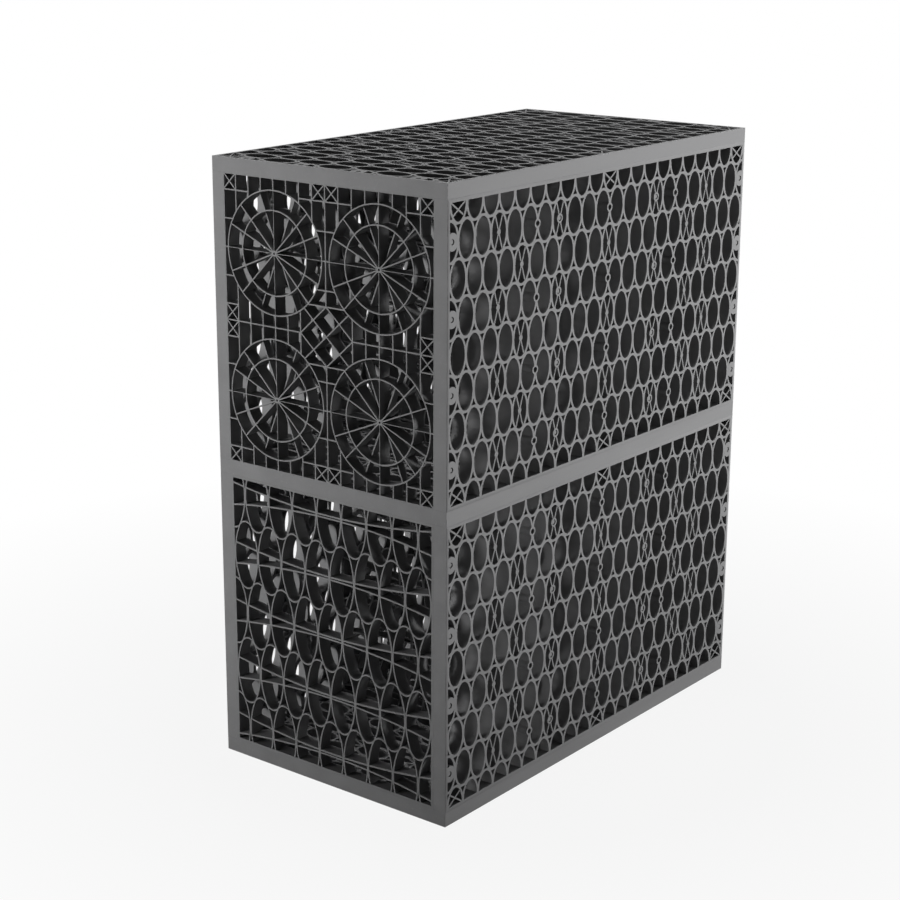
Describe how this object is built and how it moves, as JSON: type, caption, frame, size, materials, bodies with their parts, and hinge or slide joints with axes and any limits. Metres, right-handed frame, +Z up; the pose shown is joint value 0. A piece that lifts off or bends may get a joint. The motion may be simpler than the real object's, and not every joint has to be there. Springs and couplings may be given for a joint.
{
  "type": "soakaway crate",
  "caption": "Open lattice crate of two storeys for a soakaway, built of oval-grid plates that clip together, with a spoked end plate that guides pipe cut-outs.",
  "frame": {"origin": "middle of the underside that the crate stands on", "axes": "+X across the crate, +Y along it from the pipe end to the back end, +Z up"},
  "size_m": [0.4, 0.715, 0.86],
  "materials": {
    "grey_polypropylene": "matte moulded"
  },
  "bodies": {
    "root": {"bottom_plate": "grey_polypropylene", "middle_plate": "grey_polypropylene", "top_plate": "grey_polypropylene", "lower_left_side_plate": "grey_polypropylene", "lower_right_side_plate": "grey_polypropylene", "upper_left_side_plate": "grey_polypropylene", "upper_right_side_plate": "grey_polypropylene", "lower_front_end_plate": "grey_polypropylene", "lower_front_inner_plate": "grey_polypropylene", "lower_back_inner_plate": "grey_polypropylene", "lower_back_end_plate": "grey_polypropylene", "upper_front_end_plate": "grey_polypropylene", "upper_front_inner_plate": "grey_polypropylene", "upper_back_inner_plate": "grey_polypropylene", "upper_back_end_plate": "grey_polypropylene"}
  },
  "joints": []
}
